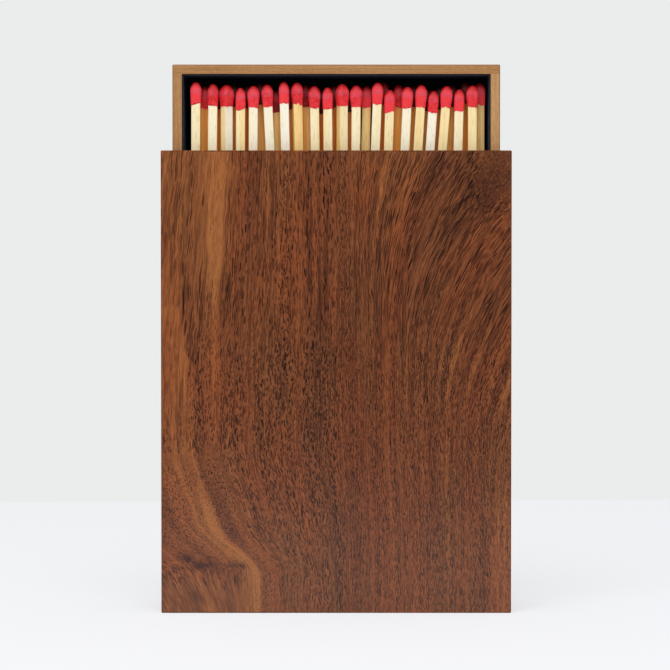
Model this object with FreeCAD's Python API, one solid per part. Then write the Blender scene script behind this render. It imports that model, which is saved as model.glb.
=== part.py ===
"""Walnut matchbox holder: an open-ended sleeve, and a lined tray of long matches that slides up out of it.

The holder stands on the lower end of its sleeve. X runs across the front, Y runs from front to back and Z is
up. The origin is the middle of the sleeve's foot. The tray is drawn as it stands part way out of the sleeve.
"""
import FreeCAD
import Part
import math
import os
from collections import namedtuple
from functools import lru_cache

from FreeCAD import Placement, Rotation, Vector

# Sleeve, in millimetres
sleeve_width = 112.0
sleeve_depth = 36.0
sleeve_height = 148.0
sleeve_wall = 3.2
edge_rounding = 0.4

# Striking strips, let in flush on the narrow sides of the sleeve
striker_thickness = 0.5
striker_margin = 6.0

# Tray
slide_gap_sides = 0.4
slide_gap_faces = 0.3
tray_raised = 27.5
tray_wall = 3.0
tray_floor_thickness = 2.4
floor_rebate = 1.5

# Black lining sheets glued inside the tray
lining_thickness = 0.5
lining_below_rim = 0.3

# Matches
stick_width = 2.9
stick_rounding = 0.35
head_height = 7.0
head_above_stick = 3.0
head_coat = 0.15
back_head_diameter = 3.6
match_gap = 0.25
match_head_room = 1.9
match_below_rim = 0.6

# Levels of a head's waist, bulb, shoulder and crown as shares of its height, and the widths of its shoulder,
# crown and tip as shares of the bulb. Roundness runs from 0, a square section, to 1, a circle.
head_waist_level = 0.3
head_bulb_level = 0.58
head_shoulder_level = 0.82
head_crown_level = 0.94
head_shoulder_share = 0.88
head_crown_share = 0.64
head_tip_share = 0.28
head_waist_roundness = 0.6
head_bulb_roundness = 0.94

# The front row from left to right: spare room before the head, head diameter, lean to the right in degrees,
# turn about its own length in degrees, and how much shorter than the longest match it is
FrontMatch = namedtuple("FrontMatch", "spare diameter lean turn short")
front_row = [
    FrontMatch(2.5, 3.7, 0.0, 0, 0.1),
    FrontMatch(2.2, 3.6, 0.6, 0, 0.7),
    FrontMatch(0.2, 4.2, 0.0, 40, 1.0),
    FrontMatch(0.5, 3.2, 0.0, 5, 1.9),
    FrontMatch(0.3, 4.0, 0.7, 0, 1.3),
    FrontMatch(0.3, 3.9, -3.0, 0, 0.8),
    FrontMatch(2.0, 3.4, -1.3, 0, 0.0),
    FrontMatch(0.4, 3.8, -1.1, 10, 0.2),
    FrontMatch(1.8, 4.0, -1.2, 0, 1.4),
    FrontMatch(0.4, 3.4, -0.7, 0, 1.8),
    FrontMatch(1.0, 4.0, -0.3, 25, 0.7),
    FrontMatch(0.2, 4.1, 0.9, 0, 1.2),
    FrontMatch(3.6, 3.8, 2.6, 0, 0.2),
    FrontMatch(0.1, 3.6, -1.7, 0, 2.6),
    FrontMatch(2.3, 3.8, 3.5, 0, 1.5),
    FrontMatch(0.4, 3.9, 4.5, 0, 0.9),
    FrontMatch(0.2, 3.4, 5.0, 0, 2.7),
    FrontMatch(0.2, 4.0, 4.8, 0, 1.1),
    FrontMatch(0.2, 3.3, 1.4, 0, 2.4),
    FrontMatch(0.3, 4.1, 0.0, 0, 1.2),
]
front_row_end_spare = 4.1

# A match in its place: its middle along the row at the heads and at the foot, and its own sizes
PlacedMatch = namedtuple("PlacedMatch", "head foot diameter turn short")

# Rows that stand in the gaps take their lengths from matches this many places further along the front row
places_further_along = 7

# Reach of a cutting solid past the faces it cuts, and rounds of pushing feet apart
cut_past = 1.0
settling_passes = 400

# Places worked out from the sizes above
side_face = sleeve_width / 2
back_face = sleeve_depth / 2
bore_side = side_face - sleeve_wall
bore_face = back_face - sleeve_wall

tray_side = bore_side - slide_gap_sides
tray_face = bore_face - slide_gap_faces
tray_foot = tray_raised
tray_top = tray_raised + sleeve_height
inner_side = tray_side - tray_wall
inner_foot = tray_foot + tray_wall
inner_top = tray_top - tray_wall
inner_back = tray_face - tray_floor_thickness

match_side = inner_side - lining_thickness
match_foot = inner_foot + lining_thickness
match_back = inner_back - lining_thickness
match_ceiling = inner_top - lining_thickness
stick_half = stick_width / 2
longest_match = match_ceiling - match_foot - match_head_room
head_level = match_foot + longest_match - head_height / 2

# Of a round corner's radius, the share it reaches along each side of its square, and the share it loses
diagonal = math.cos(math.radians(45))
corner_loss = 1 - diagonal


def box(x_from, x_to, y_from, y_to, z_from, z_to):
    """Upright box between the given faces."""
    return Part.makeBox(x_to - x_from, y_to - y_from, z_to - z_from, Vector(x_from, y_from, z_from))


def eased(solid):
    """The same box with all of its outer edges rounded over."""
    return solid.makeFillet(edge_rounding, solid.Edges)


def prism(outline, z_from, z_to):
    """Upright prism on a closed outline of (x, y) corners."""
    corners = [Vector(x, y, z_from) for x, y in outline]
    face = Part.Face(Part.makePolygon(corners + corners[:1]))
    return face.extrude(Vector(0, 0, z_to - z_from))


def save(name, *solids):
    """Write one node, a single solid or a group of separate solids."""
    shape = solids[0] if len(solids) == 1 else Part.makeCompound(list(solids))
    shape.exportStep(os.path.join("parts", name + ".step"))
    print(name, len(solids), "solids,", round(shape.Volume, 1), "mm3")


def single(shape):
    """The one solid that a boolean result holds."""
    return shape.Solids[0]


def sleeve_tube():
    """The four sleeve boards glued up, as one hollow tube with eased outer edges."""
    outside = eased(box(-side_face, side_face, -back_face, back_face, 0, sleeve_height))
    bore = box(-bore_side, bore_side, -bore_face, bore_face, -cut_past, sleeve_height + cut_past)
    return outside.cut(bore)


def sleeve_boards():
    """Front, back and side boards, which meet in mitres along the upright corners."""
    tube = sleeve_tube()
    out_x, out_y = side_face + cut_past, back_face + cut_past
    in_x, in_y = bore_side - cut_past, bore_face - cut_past
    front = [(-out_x, -out_y), (out_x, -out_y), (in_x, -in_y), (-in_x, -in_y)]
    right = [(out_x, -out_y), (out_x, out_y), (in_x, in_y), (in_x, -in_y)]
    outlines = {
        "sleeve_front_panel": front,
        "sleeve_back_panel": [(-x, -y) for x, y in front],
        "sleeve_right_side": right,
        "sleeve_left_side": [(-x, -y) for x, y in right],
    }
    return {
        name: single(tube.common(prism(outline, 0, sleeve_height)))
        for name, outline in outlines.items()
    }


def striker_strip(hand):
    """Striking strip on one narrow side: hand is 1 for the right side and -1 for the left."""
    reach = back_face - striker_margin
    faces = sorted((hand * side_face, hand * (side_face - striker_thickness)))
    return box(*faces, -reach, reach, striker_margin, sleeve_height - striker_margin)


def tray_boards():
    """Two full-width ends with the sides butted between them, and a floor let into a rebate behind."""
    outside = eased(box(-tray_side, tray_side, -tray_face, tray_face, tray_foot, tray_top))
    hollow = box(
        -inner_side, inner_side, -tray_face - cut_past, tray_face + cut_past, inner_foot, inner_top
    )
    frame_lap = tray_wall - floor_rebate
    floor = box(
        -tray_side + frame_lap, tray_side - frame_lap, inner_back, tray_face,
        tray_foot + frame_lap, tray_top - frame_lap,
    )
    frame = outside.cut(hollow).cut(floor)
    far_side, far_face = tray_side + cut_past, tray_face + cut_past
    slices = {
        "tray_top_end": box(-far_side, far_side, -far_face, far_face, inner_top, tray_top + cut_past),
        "tray_bottom_end": box(-far_side, far_side, -far_face, far_face, tray_foot - cut_past, inner_foot),
        "tray_left_side": box(-far_side, 0, -far_face, far_face, inner_foot, inner_top),
        "tray_right_side": box(0, far_side, -far_face, far_face, inner_foot, inner_top),
    }
    boards = {name: single(frame.common(piece)) for name, piece in slices.items()}
    boards["tray_floor"] = floor
    return boards


def lining_sheets():
    """Floor sheet, then end sheets across the whole width, then side sheets between the end sheets."""
    rim = -tray_face + lining_below_rim
    return {
        "floor_lining": box(-inner_side, inner_side, match_back, inner_back, inner_foot, inner_top),
        "top_end_lining": box(-inner_side, inner_side, rim, match_back, match_ceiling, inner_top),
        "bottom_end_lining": box(-inner_side, inner_side, rim, match_back, inner_foot, match_foot),
        "left_lining": box(-inner_side, -match_side, rim, match_back, match_foot, match_ceiling),
        "right_lining": box(match_side, inner_side, rim, match_back, match_foot, match_ceiling),
    }


def rounded_square(half_width, corner, height):
    """Closed outline of a level square with round corners, about the Z axis."""
    straight = half_width - corner
    corner_reach = straight + corner * diagonal
    edges = []
    for quarter in range(4):
        turn = Rotation(Vector(0, 0, 1), 90 * quarter)
        side_start = turn.multVec(Vector(half_width, -straight, height))
        side_end = turn.multVec(Vector(half_width, straight, height))
        corner_middle = turn.multVec(Vector(corner_reach, corner_reach, height))
        corner_end = turn.multVec(Vector(straight, half_width, height))
        edges.append(Part.LineSegment(side_start, side_end).toShape())
        edges.append(Part.Arc(side_end, corner_middle, corner_end).toShape())
    return Part.Wire(edges)


def stick_bar(z_from, z_to):
    """Square bar with eased corners, as the sticks are cut."""
    outline = Part.Face(rounded_square(stick_half, stick_rounding, z_from))
    return outline.extrude(Vector(0, 0, z_to - z_from))


def head_corner(half_width, roundness):
    """Corner radius of a head section: as round as asked, with the stick's corners still coated."""
    covered = stick_half - stick_rounding * corner_loss + head_coat * diagonal
    return min(half_width * roundness, (half_width - covered) / corner_loss)


def bulb_half(diameter):
    """Half the greatest width of a head, which is never less than the coated stick."""
    return max(diameter / 2, stick_half + head_coat)


def head_bulb(diameter):
    """Dipped head with its skirt at Z 0: square over the stick below, round and domed above."""
    skirt = stick_half + head_coat
    bulb = bulb_half(diameter)
    waist = (skirt + bulb) / 2
    shoulder = bulb * head_shoulder_share
    crown = bulb * head_crown_share
    tip = bulb * head_tip_share
    sections = [
        rounded_square(skirt, stick_rounding + head_coat, 0),
        rounded_square(waist, head_corner(waist, head_waist_roundness), head_height * head_waist_level),
        rounded_square(bulb, head_corner(bulb, head_bulb_roundness), head_height * head_bulb_level),
        rounded_square(shoulder, shoulder * head_bulb_roundness, head_height * head_shoulder_level),
        rounded_square(crown, crown * head_bulb_roundness, head_height * head_crown_level),
        rounded_square(tip, tip * head_bulb_roundness, head_height),
    ]
    return Part.makeLoft(sections, True, True)


@lru_cache(maxsize=None)
def match_head(diameter):
    """Head of a match, skirt at Z 0, with the socket that the end of the stick fills."""
    socket = stick_bar(-cut_past, head_height - head_above_stick)
    return single(head_bulb(diameter).cut(socket))


def match_pieces(diameter, length):
    """Stick and head of one match that stands on the origin."""
    stick = stick_bar(0, length - head_above_stick)
    head = match_head(diameter).translated(Vector(0, 0, length - head_height))
    return stick, head


def turned_reach(half_width, corner, turn):
    """Half the width that a square with round corners takes up along its row when it is turned."""
    angle = math.radians(turn)
    return (half_width - corner) * (abs(math.cos(angle)) + abs(math.sin(angle))) + corner


def stick_reach(turn):
    """Half the width that a turned stick takes up along its row."""
    return turned_reach(stick_half, stick_rounding, turn)


def head_reach(diameter, turn):
    """Half the width that a match takes up along its row at the level of the heads."""
    bulb = bulb_half(diameter)
    bulb_reach = turned_reach(bulb, head_corner(bulb, head_bulb_roundness), turn)
    return max(bulb_reach, stick_reach(turn) + head_coat)


def stand_apart(places, reaches):
    """Push neighbours apart, and in from the linings, until each has its own room on the tray's foot."""
    places = list(places)
    last = len(places) - 1
    for _ in range(settling_passes):
        for left in range(last):
            wanted = reaches[left] + reaches[left + 1] + match_gap
            push = max(0, wanted - (places[left + 1] - places[left])) / 2
            places[left] -= push
            places[left + 1] += push
        places[0] = max(places[0], -match_side + reaches[0] + match_gap)
        places[last] = min(places[last], match_side - reaches[last] - match_gap)
    return places


def room_needed(row):
    """Width that the heads of a row and the gaps beside them take up."""
    return sum(2 * head_reach(match.diameter, match.turn) + match_gap for match in row) + match_gap


def front_row_that_fits():
    """As many matches of the front row, from the left, as the width between the linings takes."""
    row = list(front_row)
    while room_needed(row) > 2 * match_side:
        row.pop()
    return row


def placed_front_row():
    """The front row in its places: spare width is shared between the heads, and feet follow the leans."""
    row = front_row_that_fits()
    spare_width = 2 * match_side - room_needed(row)
    spread = spare_width / (sum(match.spare for match in row) + front_row_end_spare)
    heads, feet = [], []
    edge = -match_side
    for match in row:
        reach = head_reach(match.diameter, match.turn)
        head = edge + match_gap + match.spare * spread + reach
        edge = head + reach
        heads.append(head)
        feet.append(head - (head_level - match_foot) * math.tan(math.radians(match.lean)))
    feet = stand_apart(feet, [stick_reach(match.turn) for match in row])
    return [
        PlacedMatch(head, foot, match.diameter, match.turn, match.short)
        for head, foot, match in zip(heads, feet, row)
    ]


def row_between(row):
    """Matches that stand in the gaps of the given row, and beside its ends where there is room."""
    heads = [-match_side] + [match.head for match in row] + [match_side]
    feet = [-match_side] + [match.foot for match in row] + [match_side]
    room = head_reach(back_head_diameter, 0) + match_gap
    between = []
    for gap in range(len(heads) - 1):
        head = (heads[gap] + heads[gap + 1]) / 2
        foot = (feet[gap] + feet[gap + 1]) / 2
        short = row[(gap + places_further_along) % len(row)].short
        if match_side - max(abs(head), abs(foot)) >= room:
            between.append(PlacedMatch(head, foot, back_head_diameter, 0, short))
    return between


def match_rows():
    """Rows from front to back, each as its depth and its matches. Every other row stands in the gaps."""
    front = placed_front_row()
    behind = row_between(front)
    widest = max(head_reach(match.diameter, match.turn) for match in front)
    needed = widest + head_reach(back_head_diameter, 0) + match_gap
    depth = match_back + tray_face - match_below_rim
    count = int(depth // needed)
    pitch = depth / count
    nearest = -tray_face + match_below_rim + pitch / 2
    return [(nearest + pitch * number, behind if number % 2 else front) for number in range(count)]


def stood_in_tray(solid, match, depth):
    """Place part of a match: turned about its length, leaning along its row, with its foot on the lining."""
    lean = math.atan2(match.head - match.foot, head_level - match_foot)
    lift = stick_reach(match.turn) * abs(math.sin(lean))
    tilt = Rotation(Vector(0, 1, 0), math.degrees(lean))
    spin = Rotation(Vector(0, 0, 1), match.turn)
    stand = Placement(Vector(match.foot, depth, match_foot + lift), tilt.multiply(spin))
    return solid.transformed(stand.Matrix)


def save_match_rows():
    """One node for the sticks and one for the heads of the front row, the second row and all rows behind."""
    rows = match_rows()
    groups = {"front_row": rows[:1], "second_row": rows[1:2], "back_rows": rows[2:]}
    for group, members in groups.items():
        sticks, heads = [], []
        for depth, matches in members:
            for match in matches:
                stick, head = match_pieces(match.diameter, longest_match - match.short)
                sticks.append(stood_in_tray(stick, match, depth))
                heads.append(stood_in_tray(head, match, depth))
        save(f"match_sticks_{group}", *sticks)
        save(f"match_heads_{group}", *heads)


os.makedirs("parts", exist_ok=True)

strikers = {"sleeve_left_side": striker_strip(-1), "sleeve_right_side": striker_strip(1)}
for name, board in sleeve_boards().items():
    save(name, single(board.cut(strikers[name])) if name in strikers else board)
save("left_striker_strip", strikers["sleeve_left_side"])
save("right_striker_strip", strikers["sleeve_right_side"])

for name, board in {**tray_boards(), **lining_sheets()}.items():
    save(name, board)

save_match_rows()
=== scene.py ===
# %% [markdown]
# # A walnut matchbox holder
# The real object is a sleeve of four thin walnut boards, open at both ends, and a lined tray of
# long matches that slides up out of it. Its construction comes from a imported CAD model, which this
# file loads as a fixed frame. What is added here is the finish of every surface: figured walnut,
# golden tray wood, black card and red matches. Everything is in metres, with X to the right, Y to
# the back and Z up.

# %% Load the frame
import math
import random
from collections import namedtuple

import bmesh
import bpy
import numpy as np
from mathutils import Matrix, Vector, noise


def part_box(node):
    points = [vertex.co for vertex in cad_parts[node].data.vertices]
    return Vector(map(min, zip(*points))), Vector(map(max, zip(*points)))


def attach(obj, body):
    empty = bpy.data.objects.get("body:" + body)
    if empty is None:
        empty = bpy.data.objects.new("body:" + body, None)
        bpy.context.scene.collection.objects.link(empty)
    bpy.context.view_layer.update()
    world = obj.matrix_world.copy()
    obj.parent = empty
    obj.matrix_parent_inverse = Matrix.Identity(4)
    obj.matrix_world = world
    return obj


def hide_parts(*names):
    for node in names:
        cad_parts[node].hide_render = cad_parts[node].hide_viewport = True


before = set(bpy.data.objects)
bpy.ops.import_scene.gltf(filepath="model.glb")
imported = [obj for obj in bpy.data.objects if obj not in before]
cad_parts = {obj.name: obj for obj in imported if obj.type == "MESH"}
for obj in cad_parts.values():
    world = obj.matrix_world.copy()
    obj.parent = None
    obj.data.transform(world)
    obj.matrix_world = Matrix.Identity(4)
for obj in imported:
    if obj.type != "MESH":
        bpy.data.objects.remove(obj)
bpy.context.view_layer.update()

# %% [markdown]
# ## Camera
# A product photograph like this one is taken from about a metre away with a long lens, so that the
# box keeps its straight sides. The camera stands a little higher than the middle of the box and
# looks slightly down. The lens follows from how wide the picture is at the front board, so the box
# fills the frame as it should.

# %% Camera
front_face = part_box("sleeve_front_panel")[0].y
picture_width = 0.214
camera_distance = 1.05
camera_height = 0.123
aim = Vector((-0.0004, front_face, 0.0891))

camera_data = bpy.data.cameras.new("camera")
camera = bpy.data.objects.new("camera", camera_data)
camera.location = (aim.x, front_face - camera_distance, camera_height)
camera.rotation_euler = (aim - camera.location).to_track_quat("-Z", "Y").to_euler()
camera_data.lens = camera_data.sensor_width * (aim - camera.location).length / picture_width
bpy.context.scene.collection.objects.link(camera)
bpy.context.scene.camera = camera
print("camera:", round(camera_data.lens, 1), "mm lens")

# %% [markdown]
# ## Table, wall and light
# The box stands on a white table in front of a pale wall. The table is one flat face whose far edge
# makes the line behind the box. For the camera alone it glows a little, so it looks as white as in
# a bright studio and still keeps the soft shadow. The wall needs no mesh: the world shows its
# colour to the camera, a dimmer room to mirrored rays, so that no grey veil lies on the dark wood,
# and plain soft light to everything else. One large soft lamp, above and in front, does the rest.

# %% Helpers for shader nodes
def seen(red, green, blue):
    """A colour as a screen shows it, from 0 to 255, as the linear values that shaders work in."""
    linear = []
    for part in (red, green, blue):
        share = part / 255
        linear.append(share / 12.92 if share <= 0.04045 else ((share + 0.055) / 1.055) ** 2.4)
    return (*linear, 1.0)


def put(tree, kind, inputs=None, **settings):
    """Add a node, set its options, and fill its inputs with values or with links from other nodes."""
    node = tree.nodes.new(kind)
    for option, value in settings.items():
        setattr(node, option, value)
    for key, value in (inputs or {}).items():
        if isinstance(value, bpy.types.NodeSocket):
            tree.links.new(value, node.inputs[key])
        else:
            node.inputs[key].default_value = value
    return node


def reckon(tree, operation, *values):
    """The result of one Math node."""
    return put(tree, "ShaderNodeMath", dict(enumerate(values)), operation=operation).outputs[0]


def mixed(tree, share, first, second, blend="MIX"):
    """Two colours mixed by a share from 0 to 1."""
    inputs = {0: share, 6: first, 7: second}
    return put(tree, "ShaderNodeMix", inputs, data_type="RGBA", blend_type=blend).outputs[2]


def faded(tree, value, start, end):
    """A smooth step from 0 where value is start to 1 where it is end."""
    inputs = {"Value": value, "From Min": start, "From Max": end}
    return put(tree, "ShaderNodeMapRange", inputs, interpolation_type="SMOOTHSTEP").outputs["Result"]


def ramp(tree, value, stops):
    """Colours along a scale, given as pairs of place and colour."""
    node = put(tree, "ShaderNodeValToRGB", {"Fac": value})
    elements = node.color_ramp.elements
    while len(elements) < len(stops):
        elements.new(0.5)
    for element, (place, colour) in zip(elements, stops):
        element.position = place
        element.color = colour
    return node.outputs["Color"]


def new_finish(name):
    """An empty material with its Principled shader, ready for links."""
    material = bpy.data.materials.new(name)
    material.use_nodes = True
    return material, material.node_tree, material.node_tree.nodes["Principled BSDF"]


print("helpers: ready")

# %% World
wall_colour = seen(235, 236, 236)
dim_room_colour = seen(48, 48, 50)
sky_colour = (1.0, 1.0, 1.0, 1.0)
sky_strength = 0.5

world = bpy.data.worlds.new("room")
bpy.context.scene.world = world
world.use_nodes = True
tree = world.node_tree
ray = put(tree, "ShaderNodeLightPath").outputs
direction = put(tree, "ShaderNodeTexCoord").outputs["Generated"]
upwards = put(tree, "ShaderNodeSeparateXYZ", {0: direction}).outputs["Z"]
mirrored = mixed(tree, faded(tree, upwards, 0.5, 1.0), dim_room_colour, wall_colour)
straight = reckon(tree, "MAXIMUM", ray["Is Camera Ray"], ray["Is Transmission Ray"])
shown = mixed(tree, ray["Is Glossy Ray"], wall_colour, mirrored)
shows_room = reckon(tree, "MAXIMUM", straight, ray["Is Glossy Ray"])
light = put(tree, "ShaderNodeBackground", {"Color": sky_colour, "Strength": sky_strength})
wall = put(tree, "ShaderNodeBackground", {"Color": shown, "Strength": 1.0})
room = put(tree, "ShaderNodeMixShader", {0: shows_room, 1: light.outputs[0], 2: wall.outputs[0]})
tree.links.new(room.outputs[0], tree.nodes["World Output"].inputs["Surface"])
print("world: wall colour for the camera, plain light for the rest")

# %% Table
table_reach = 0.4
table_far_edge = 0.417
table_slant = 0.05
table_glow = 0.62

material, tree, shader = new_finish("white_table")
shader.inputs["Base Color"].default_value = seen(244, 245, 247)
shader.inputs["Roughness"].default_value = 0.6
shader.inputs["Specular IOR Level"].default_value = 0.2
ray = put(tree, "ShaderNodeLightPath").outputs
glow = put(tree, "ShaderNodeEmission", {"Color": seen(248, 249, 252), "Strength": 1.06})
share = reckon(tree, "MULTIPLY", ray["Is Camera Ray"], table_glow)
lifted = put(tree, "ShaderNodeMixShader", {0: share, 1: shader.outputs[0], 2: glow.outputs[0]})
tree.links.new(lifted.outputs[0], tree.nodes["Material Output"].inputs["Surface"])
bm = bmesh.new()
corners = [
    (-table_reach, -table_reach, 0),
    (table_reach, -table_reach, 0),
    (table_reach, table_far_edge + table_slant * table_reach, 0),
    (-table_reach, table_far_edge - table_slant * table_reach, 0),
]
bm.faces.new([bm.verts.new(corner) for corner in corners])
mesh = bpy.data.meshes.new("table")
bm.to_mesh(mesh)
bm.free()
mesh.materials.append(material)
table = bpy.data.objects.new("table", mesh)
bpy.context.scene.collection.objects.link(table)
print("table: far edge", table_far_edge, "m behind the box")

# %% Lamp
lamp_place = Vector((-0.12, -0.95, 1.3))
lamp_size = 1.2
lamp_power = 16.5

lamp_data = bpy.data.lights.new("upper_lamp", "AREA")
lamp_data.size = lamp_size
lamp_data.energy = lamp_power
lamp = bpy.data.objects.new("upper_lamp", lamp_data)
lamp.location = lamp_place
lamp.rotation_euler = (aim - lamp_place).to_track_quat("-Z", "Y").to_euler()
bpy.context.scene.collection.objects.link(lamp)
bpy.context.scene.view_settings.view_transform = "Standard"
print("lamp: one soft square")

# %% [markdown]
# ## Grain that follows the wood
# Wood is never a picture pasted on a board. Fibres run along the plank, pores are short hollow
# tubes cut open by the plane, and the broad bands are years of growth. So each wooden piece carries
# three attributes on its points. Grain says where a point lies across the fibres, in depth and
# along them. Tone says how light that part of the plank is. Speckled says how short its pores are:
# long lines near 0, dashes near 0.4, specks near 0.9 and round dots from 1.2. Below 0 there are few
# pores and a cloudy figure, as beside a knot. The shaders stretch their noise along the grain, so
# fibres bend where the plank bends. Pores are the cells of a flat Voronoi pattern, drawn out along
# the grain, and turned so that they stand in no rows.

# %% Shader groups for fibres and pores
def new_group(name, inputs, output):
    """An empty shader group with a vector named Grain, some numbers, and one result."""
    group = bpy.data.node_groups.new(name, "ShaderNodeTree")
    group.interface.new_socket(name="Grain", in_out="INPUT", socket_type="NodeSocketVector")
    for title in inputs:
        group.interface.new_socket(name=title, in_out="INPUT", socket_type="NodeSocketFloat")
    group.interface.new_socket(name=output, in_out="OUTPUT", socket_type="NodeSocketFloat")
    return group, group.nodes.new("NodeGroupInput").outputs, group.nodes.new("NodeGroupOutput").inputs


def stretched(tree, given):
    """Grain coordinates counted in cells: many to a metre across the fibres and few along them."""
    counts = {"X": given["Across"], "Y": given["Across"], "Z": given["Along"]}
    cells = put(tree, "ShaderNodeCombineXYZ", counts).outputs[0]
    inputs = {0: given["Grain"], 1: cells}
    return put(tree, "ShaderNodeVectorMath", inputs, operation="MULTIPLY").outputs[0]


fibre_group, given, result = new_group("wood_fibres", ["Across", "Along", "Detail"], "Fibre")
noise_inputs = {"Vector": stretched(fibre_group, given), "Scale": 1.0, "Roughness": 0.6}
noise_inputs["Detail"] = given["Detail"]
noise_node = put(fibre_group, "ShaderNodeTexNoise", noise_inputs)
fibre_group.links.new(noise_node.outputs[0], result["Fibre"])

pore_group, given, result = new_group("wood_pores", ["Across", "Along", "Size"], "Pore")
part = put(pore_group, "ShaderNodeSeparateXYZ", {0: given["Grain"]}).outputs
side = reckon(pore_group, "MULTIPLY_ADD", part["Y"], 0.7, part["X"])
place = put(pore_group, "ShaderNodeCombineXYZ", {
    "X": reckon(pore_group, "MULTIPLY", side, given["Across"]),
    "Y": reckon(pore_group, "MULTIPLY", part["Z"], given["Along"]),
}).outputs[0]
turn = {"Vector": place, "Angle": 0.5}
turned = put(pore_group, "ShaderNodeVectorRotate", turn, rotation_type="Z_AXIS").outputs[0]
spread = {"Vector": turned, "Scale": 1.0}
cell = put(pore_group, "ShaderNodeTexVoronoi", spread, voronoi_dimensions="2D").outputs
own = put(pore_group, "ShaderNodeSeparateColor", {0: cell["Color"]}).outputs
share = reckon(pore_group, "MULTIPLY_ADD", own[0], 0.9, 0.45)
reach = reckon(pore_group, "MULTIPLY", given["Size"], share)
heart = reckon(pore_group, "MULTIPLY", reach, 0.7)
depth = reckon(pore_group, "MULTIPLY_ADD", own[1], 0.5, 0.5)
pore = reckon(pore_group, "MULTIPLY", faded(pore_group, cell["Distance"], reach, heart), depth)
pore_group.links.new(pore, result["Pore"])


def fibres(tree, grain, across, along, detail=3.0):
    """Noise in streaks along the grain, from 0 to 1."""
    inputs = {"Grain": grain, "Across": across, "Along": along, "Detail": detail}
    return put(tree, "ShaderNodeGroup", inputs, node_tree=fibre_group).outputs[0]


def pores(tree, grain, across, along, size):
    """Short dashes along the grain, 1 inside a pore and 0 between them."""
    inputs = {"Grain": grain, "Across": across, "Along": along, "Size": size}
    return put(tree, "ShaderNodeGroup", inputs, node_tree=pore_group).outputs[0]


def toned(tree, start, layers):
    """A base tone with layers of noise added, each by its own amount."""
    total = start
    for value, amount in layers:
        total = reckon(tree, "MULTIPLY_ADD", reckon(tree, "SUBTRACT", value, 0.5), amount, total)
    return total


def largest(tree, first, *others):
    """The largest of several values."""
    for other in others:
        first = reckon(tree, "MAXIMUM", first, other)
    return first


def attribute(tree, name, output):
    """A named attribute of the piece."""
    return put(tree, "ShaderNodeAttribute", attribute_name=name).outputs[output]


def flatness(tree):
    """1 on the flat faces of a board and 0 on its eased edges, whose normals point between the axes."""
    normal = put(tree, "ShaderNodeNewGeometry").outputs["True Normal"]
    size = put(tree, "ShaderNodeVectorMath", {0: normal}, operation="ABSOLUTE").outputs[0]
    part = put(tree, "ShaderNodeSeparateXYZ", {0: size}).outputs
    return faded(tree, largest(tree, part["X"], part["Y"], part["Z"]), 0.97, 0.999)


print("groups:", [group.name for group in bpy.data.node_groups])

# %% [markdown]
# ## Walnut
# Oiled walnut is chocolate brown with lighter amber streaks, and dark pores show all over it. The
# tone picks a colour on a ramp. Noise at three scales breaks it up into bands, streaks and hairs,
# and a slow change of hue makes some parts redder and others greyer, with grey at the foot beside
# the knot. Then come the pores, each kind where the speckled value asks for it: lines and wedges,
# crooked dashes and specks, dots, and fine dark threads between them. Strips along the plank shift
# that value a little, as years of growth do. Pores darken the wood and dent it. Faint light flecks
# between them are painted glints, fibres that catch the light painted into the colour.

# %% Walnut tones
walnut, tree, shader = new_finish("walnut")
plank = attribute(tree, "grain", "Vector")
wiggle = reckon(tree, "MULTIPLY_ADD", fibres(tree, plank, 260.0, 150.0, 1.0), 0.0012, -0.0006)
sideways = put(tree, "ShaderNodeCombineXYZ", {"X": wiggle})
grain = put(tree, "ShaderNodeVectorMath", {0: plank, 1: sideways.outputs[0]}).outputs[0]
shake = reckon(tree, "MULTIPLY_ADD", fibres(tree, plank, 420.0, 260.0, 1.0), 0.0014, -0.0007)
shaken = put(tree, "ShaderNodeCombineXYZ", {"X": shake})
crooked = put(tree, "ShaderNodeVectorMath", {0: grain, 1: shaken.outputs[0]}).outputs[0]
bands = fibres(tree, grain, 90.0, 4.0)
streaks = fibres(tree, grain, 420.0, 14.0)
hairs = fibres(tree, grain, 2100.0, 70.0, 2.0)
blotches = toned(tree, 0.5, [(fibres(tree, plank, 480.0, 280.0, 4.0), 1.4)])
strips = fibres(tree, grain, 150.0, 4.0, 1.0)
given_speckle = attribute(tree, "speckled", "Fac")
variety = reckon(tree, "MULTIPLY_ADD", faded(tree, given_speckle, 0.9, 0.4), 1.3, 0.3)
speckled = toned(tree, given_speckle, [(strips, variety)])
some = faded(tree, given_speckle, -0.2, 0.0)
calm = faded(tree, speckled, 0.3, 0.9)
streak_share = reckon(tree, "MULTIPLY_ADD", calm, -0.22, 0.75)
hair_share = reckon(tree, "MULTIPLY_ADD", faded(tree, speckled, 0.0, 0.4), 0.2, 0.35)
straight = toned(tree, 0.5, [(bands, 0.5), (streaks, streak_share), (hairs, hair_share)])
figure = put(tree, "ShaderNodeMix", {0: some, 2: blotches, 3: straight}).outputs[0]
tone = toned(tree, attribute(tree, "tone", "Fac"), [(figure, 1.0)])
brown = ramp(tree, tone, [
    (0.0, seen(62, 30, 17)),
    (0.25, seen(92, 49, 29)),
    (0.5, seen(118, 65, 37)),
    (0.75, seen(142, 80, 43)),
    (1.0, seen(168, 102, 54)),
])
print("walnut tones:", len(tree.nodes), "nodes")

# %% Walnut pores
def pore_kind(way, across, along, size, start, end):
    """One kind of pore, which shows where the speckled value has passed from start to end."""
    shown = faded(tree, speckled, start, end)
    return reckon(tree, "MULTIPLY", pores(tree, way, across, along, size), shown)


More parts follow.
